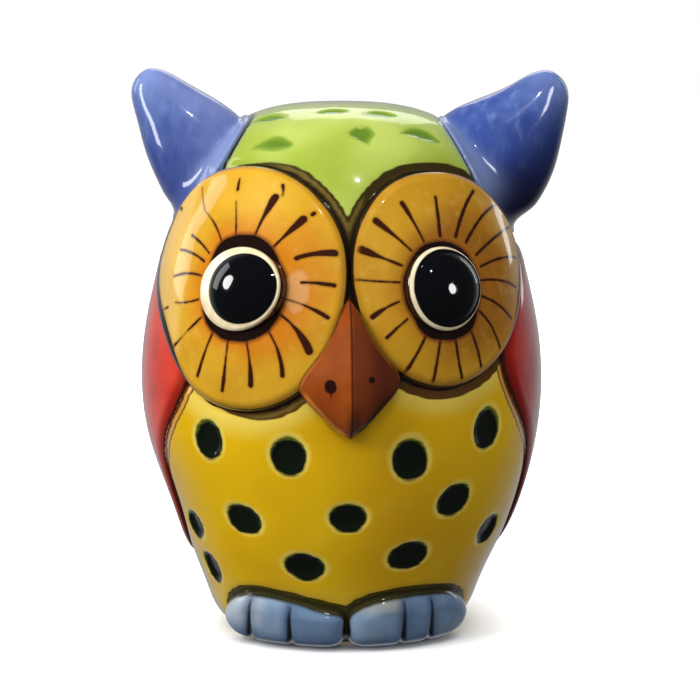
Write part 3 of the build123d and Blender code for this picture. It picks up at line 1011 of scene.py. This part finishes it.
def wing_glaze(side):
    # The owl's right wing is painted a lighter red than the left: a painted sheen standing for the reflection
    # of a bright backdrop.
    bright = side == "right"
    g = Glaze(f"{side}_wing_glaze", (214, 54, 34) if bright else (172, 30, 20))
    gap = g.mark("gap")
    g.blotches((226, 84, 56) if bright else (200, 52, 34), 0.55, 18, 0.1)
    g.blotches((138, 16, 12), 0.4, 10, 0.4, 0.5, 3.0)
    g.layer((96, 10, 8), g.below(gap, 2.6, 1.6), 0.6)
    g.layer((72, 26, 12), g.below(g.hand(gap, 0.15, 6.0), 0.6))
    return g.finish()


def foot_glaze():
    g = Glaze("foot_glaze", (106, 132, 164))
    x, z, gap, toe = (g.mark(name) for name in ("x", "z", "gap", "toe"))
    g.blotches((150, 172, 194), 0.6, 9, 0.1)
    # A painted highlight on the outer toe of the owl's right foot, which faces the light.
    g.layer((196, 206, 214), g.below(x, -22.0, 3.0) * g.above(z, 5.0, 3.0), 0.7)
    g.layer((168, 160, 130), g.above(z, 11.0, 2.0) * g.above(x, 0.0, 1.0) * g.below(x, 14.0, 3.0), 0.6)
    # Painted shade low down and beside the grooves between the toes.
    g.layer((70, 96, 146), g.below(z, 3.4, 1.6), 0.6)
    g.layer((66, 88, 124), g.below(toe, 1.6, 1.5), 0.6)
    # Dark grooves between the toes, narrower towards the top: dark paint lines with painted shade in the
    # creases.
    wedge = g.hand(toe, 0.1, 3.0) + z * 0.06
    g.layer((24, 28, 36), g.below(wedge, 0.92, 0.35) * g.above(gap, 1.6, 0.8) * g.above(z, 1.2, 0.8))
    g.layer((46, 44, 26), g.below(g.hand(gap, 0.12, 5.0), 0.7, 0.3) * g.above(z, 2.5, 0.8))
    return g.finish()


def ear_glaze(name):
    left = name == "left_ear"
    # The owl's left ear is turned from the light and gets a darker ground than the right one: painted shade on
    # one blue.
    g = Glaze(f"{name}_glaze", (60, 82, 148) if left else (90, 110, 168))
    along, inward = g.mark("along"), g.mark("inward")
    g.blotches((52, 74, 152), 0.6, 12, 0.2)
    g.blotches((120, 142, 204), 0.4, 7, 0.45, 0.5, 3.0)
    g.blotches((36, 54, 124), 0.5, 4.5, 0.3, detail=3.0, rise=0.4)
    g.blotches((150, 168, 212), 0.4, 3.6, 0.55, 0.5, 3.0, rise=0.35)
    g.layer((140, 160, 210), g.above(along, 136.0, 7.0), 0.35)
    if left:
        # Deep navy down the outer side and lower part: partly the brushwork's darker tone, partly painted
        # shade.
        g.layer((22, 26, 78), g.below(inward, -0.25, 0.6) * g.below(along, 132.0, 10.0), 0.9)
        g.layer((12, 14, 44), g.below(inward, -0.3, 0.4) * g.below(along, 120.0, 6.0), 0.8)
    else:
        g.layer((52, 62, 136), g.below(inward, 0.3, 0.7) * g.below(along, 124.0, 10.0), 0.4)
        g.layer((140, 152, 204), g.above(inward, 0.3, 0.6), 0.35)
    g.layer((136, 152, 190), g.below(g.mark("share"), 0.16, 0.1) * g.above(inward, -0.3, 0.5), 0.7)
    return g.finish()


def rubber_glaze():
    g = Glaze("rubber_finish", (30, 30, 32))
    g.blotches((46, 45, 46), 0.6, 3, 0.3, detail=3.0)
    g.blotches((58, 57, 56), 0.3, 12, 0.5, 0.5)
    return g.finish(roughness=0.55, coat=0.0, bump=0.2)


# ---------------------------------------------------------------- putting it together

body = build_body()
pieces = [(body, body_glaze(), "body_shell", "glazed_body")]
for side in ("right", "left"):
    pieces.append((build_disc(side), disc_glaze(side), f"{side}_eye_disc", "glazed_eye_disc"))
eyes = eye_glaze()
for side in ("right", "left"):
    pieces.append((build_eye(side), eyes, f"{side}_eyeball", "glazed_eyeball"))
pieces.append((build_beak(), beak_glaze(), "beak", "glazed_beak"))
feet = foot_glaze()
for side in ("right", "left"):
    pieces.append((build_wing(side), wing_glaze(side), f"{side}_wing", "glazed_wing"))
    pieces.append((build_foot(side), feet, f"{side}_foot", "glazed_foot"))
    pieces.append((build_ear(f"{side}_ear"), ear_glaze(f"{side}_ear"), f"{side}_ear", "glazed_ear"))
for piece, glaze, node, slot_name in pieces:
    piece.data.materials.clear()
    piece.data.materials.append(glaze)
    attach(piece, "bank")
    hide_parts(node)
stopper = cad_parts["stopper"]
stopper.data.materials.clear()
stopper.data.materials.append(rubber_glaze())

# ---------------------------------------------------------------- floor, light and camera


def light_only(lamp, name, pieces):
    """Keeps a light to some pieces."""
    group = bpy.data.collections.new(name)
    for piece in pieces:
        group.objects.link(piece)
    lamp.light_linking.receiver_collection = group


def pale_floor():
    """A plain pale floor, lit by a sky of its own to the backdrop's white, and clear when seen from below."""
    mesh = bpy.data.meshes.new("floor")
    mesh.from_pydata([(-3, -3, 0), (3, -3, 0), (3, 3, 0), (-3, 3, 0)], [], [(0, 1, 2, 3)])
    floor = link("floor", mesh)
    paper = Glaze("floor_paper", (246, 246, 245))
    paper.blotches((240, 240, 239), 0.5, 60, 0.3)
    mesh.materials.append(paper.finish(roughness=0.8, coat=0.0, bump=0.02, clear_below=True))
    floor.visible_glossy = floor.visible_diffuse = False
    sky = bpy.data.lights.new("floor_sky", "SUN")
    sky.energy, sky.angle = 3.2, math.radians(70)
    light_only(link("floor_sky", sky), "floor_only", [floor])


def direction(azimuth, elevation):
    """The way out from the owl, at degrees round from its front towards +X and degrees up."""
    a, e = math.radians(azimuth), math.radians(elevation)
    return Vector((math.sin(a) * math.cos(e), -math.cos(a) * math.cos(e), math.sin(e)))


def light_panel(name, azimuth, elevation, distance, size, power, shape="RECTANGLE"):
    """An area light round the owl, aimed at its middle."""
    lamp = bpy.data.lights.new(name, "AREA")
    lamp.shape, lamp.energy = shape, power
    lamp.size, lamp.size_y = size
    made = link(name, lamp)
    out = direction(azimuth, elevation)
    made.location = Vector((AXIS[0], AXIS[1], 0.07)) + out * distance
    made.rotation_euler = out.to_track_quat("Z", "Y").to_euler()
    return made


pale_floor()
for name, around, above, far, size, power in (
    ("window", -58, 32, 0.9, (0.5, 0.7), 7.8),
    ("fill", 60, 20, 1.1, (0.5, 0.7), 2.0),
    ("top", 0, 80, 0.8, (0.7, 0.5), 3.2),
    ("front", -8, 22, 1.4, (0.8, 0.6), 3.7),
    ("rear", 180, 35, 1.1, (1.2, 0.7), 6.0),
):
    light_panel(name, around, above, far, size, power).visible_glossy = False
light_panel("sheen_left", -108, 22, 0.9, (0.26, 0.5), 0.7)
light_panel("sheen_right", 128, 20, 0.9, (0.12, 0.5), 0.35)
light_panel("sheen_back", 172, 40, 1.0, (0.5, 0.4), 0.7)
light_panel("sparkle", 12, 48, 0.9, (0.045, 0.045), 0.32, "ELLIPSE")

# Small lights that only some pieces catch: a round one in each eye, and a long one down each ear.
for name, only, around, above, size, power in (
    ("glint_left", "eyeball", -81, 20, (0.26, 0.26), 1.9),
    ("glint_right", "eyeball", 52, 14, (0.15, 0.15), 0.7),
    ("streak_left", "right_ear", -70, 12, (0.16, 0.6), 2.6),
    ("streak_right", "left_ear", 40, 30, (0.1, 0.3), 0.9),
):
    lamp = light_panel(name, around, above, 0.8, size, power, "ELLIPSE" if only == "eyeball" else "RECTANGLE")
    light_only(lamp, f"{name}_catchers", [piece for piece, _, node, _ in pieces if only in node])
    lamp.visible_diffuse = only == "eyeball"

# The backdrop: white to the camera, dim to the owl, and brighter behind it in reflections.
world = bpy.data.worlds.new("backdrop")
bpy.context.scene.world = world
world.use_nodes = True
tree = world.node_tree
tree.nodes.clear()
kinds = ("LightPath", "SeparateXYZ", "MapRange")
path, split, bright = (tree.nodes.new(f"ShaderNode{kind}") for kind in kinds)
tree.links.new(tree.nodes.new("ShaderNodeTexCoord").outputs["Generated"], split.inputs[0])
tree.links.new(split.outputs["Y"], bright.inputs["Value"])
for key, value in (("From Min", 0.25), ("From Max", 0.9), ("To Min", 0.04), ("To Max", 0.4)):
    bright.inputs[key].default_value = value
shown = None
PALE_BLUE, WHITE = (0.95, 0.97, 1.0, 1), (1, 1, 1, 1)
for ray, colour, strength in (
    ("", PALE_BLUE, 0.2),
    ("Is Glossy Ray", PALE_BLUE, None),
    ("Is Camera Ray", WHITE, 1.0),
):
    sky = tree.nodes.new("ShaderNodeBackground")
    sky.inputs[0].default_value = colour
    if strength is None:
        tree.links.new(bright.outputs[0], sky.inputs[1])
    else:
        sky.inputs[1].default_value = strength
    if shown is None:
        shown = sky.outputs[0]
        continue
    mix = tree.nodes.new("ShaderNodeMixShader")
    for socket, output in zip(mix.inputs, (path.outputs[ray], shown, sky.outputs[0])):
        tree.links.new(output, socket)
    shown = mix.outputs[0]
tree.links.new(shown, tree.nodes.new("ShaderNodeOutputWorld").inputs[0])

scene = bpy.context.scene
scene.view_settings.view_transform = "Standard"
camera = link("camera", bpy.data.cameras.new("camera"))
scene.camera = camera
camera.data.sensor_width, camera.data.lens = 36, 137.4
away = direction(-3, 8)
camera.location = Vector((AXIS[0] + 0.0022, AXIS[1], 0.0726)) + away * 0.7
camera.rotation_euler = away.to_track_quat("Z", "Y").to_euler()
camera.data.clip_start, camera.data.clip_end = 0.01, 20
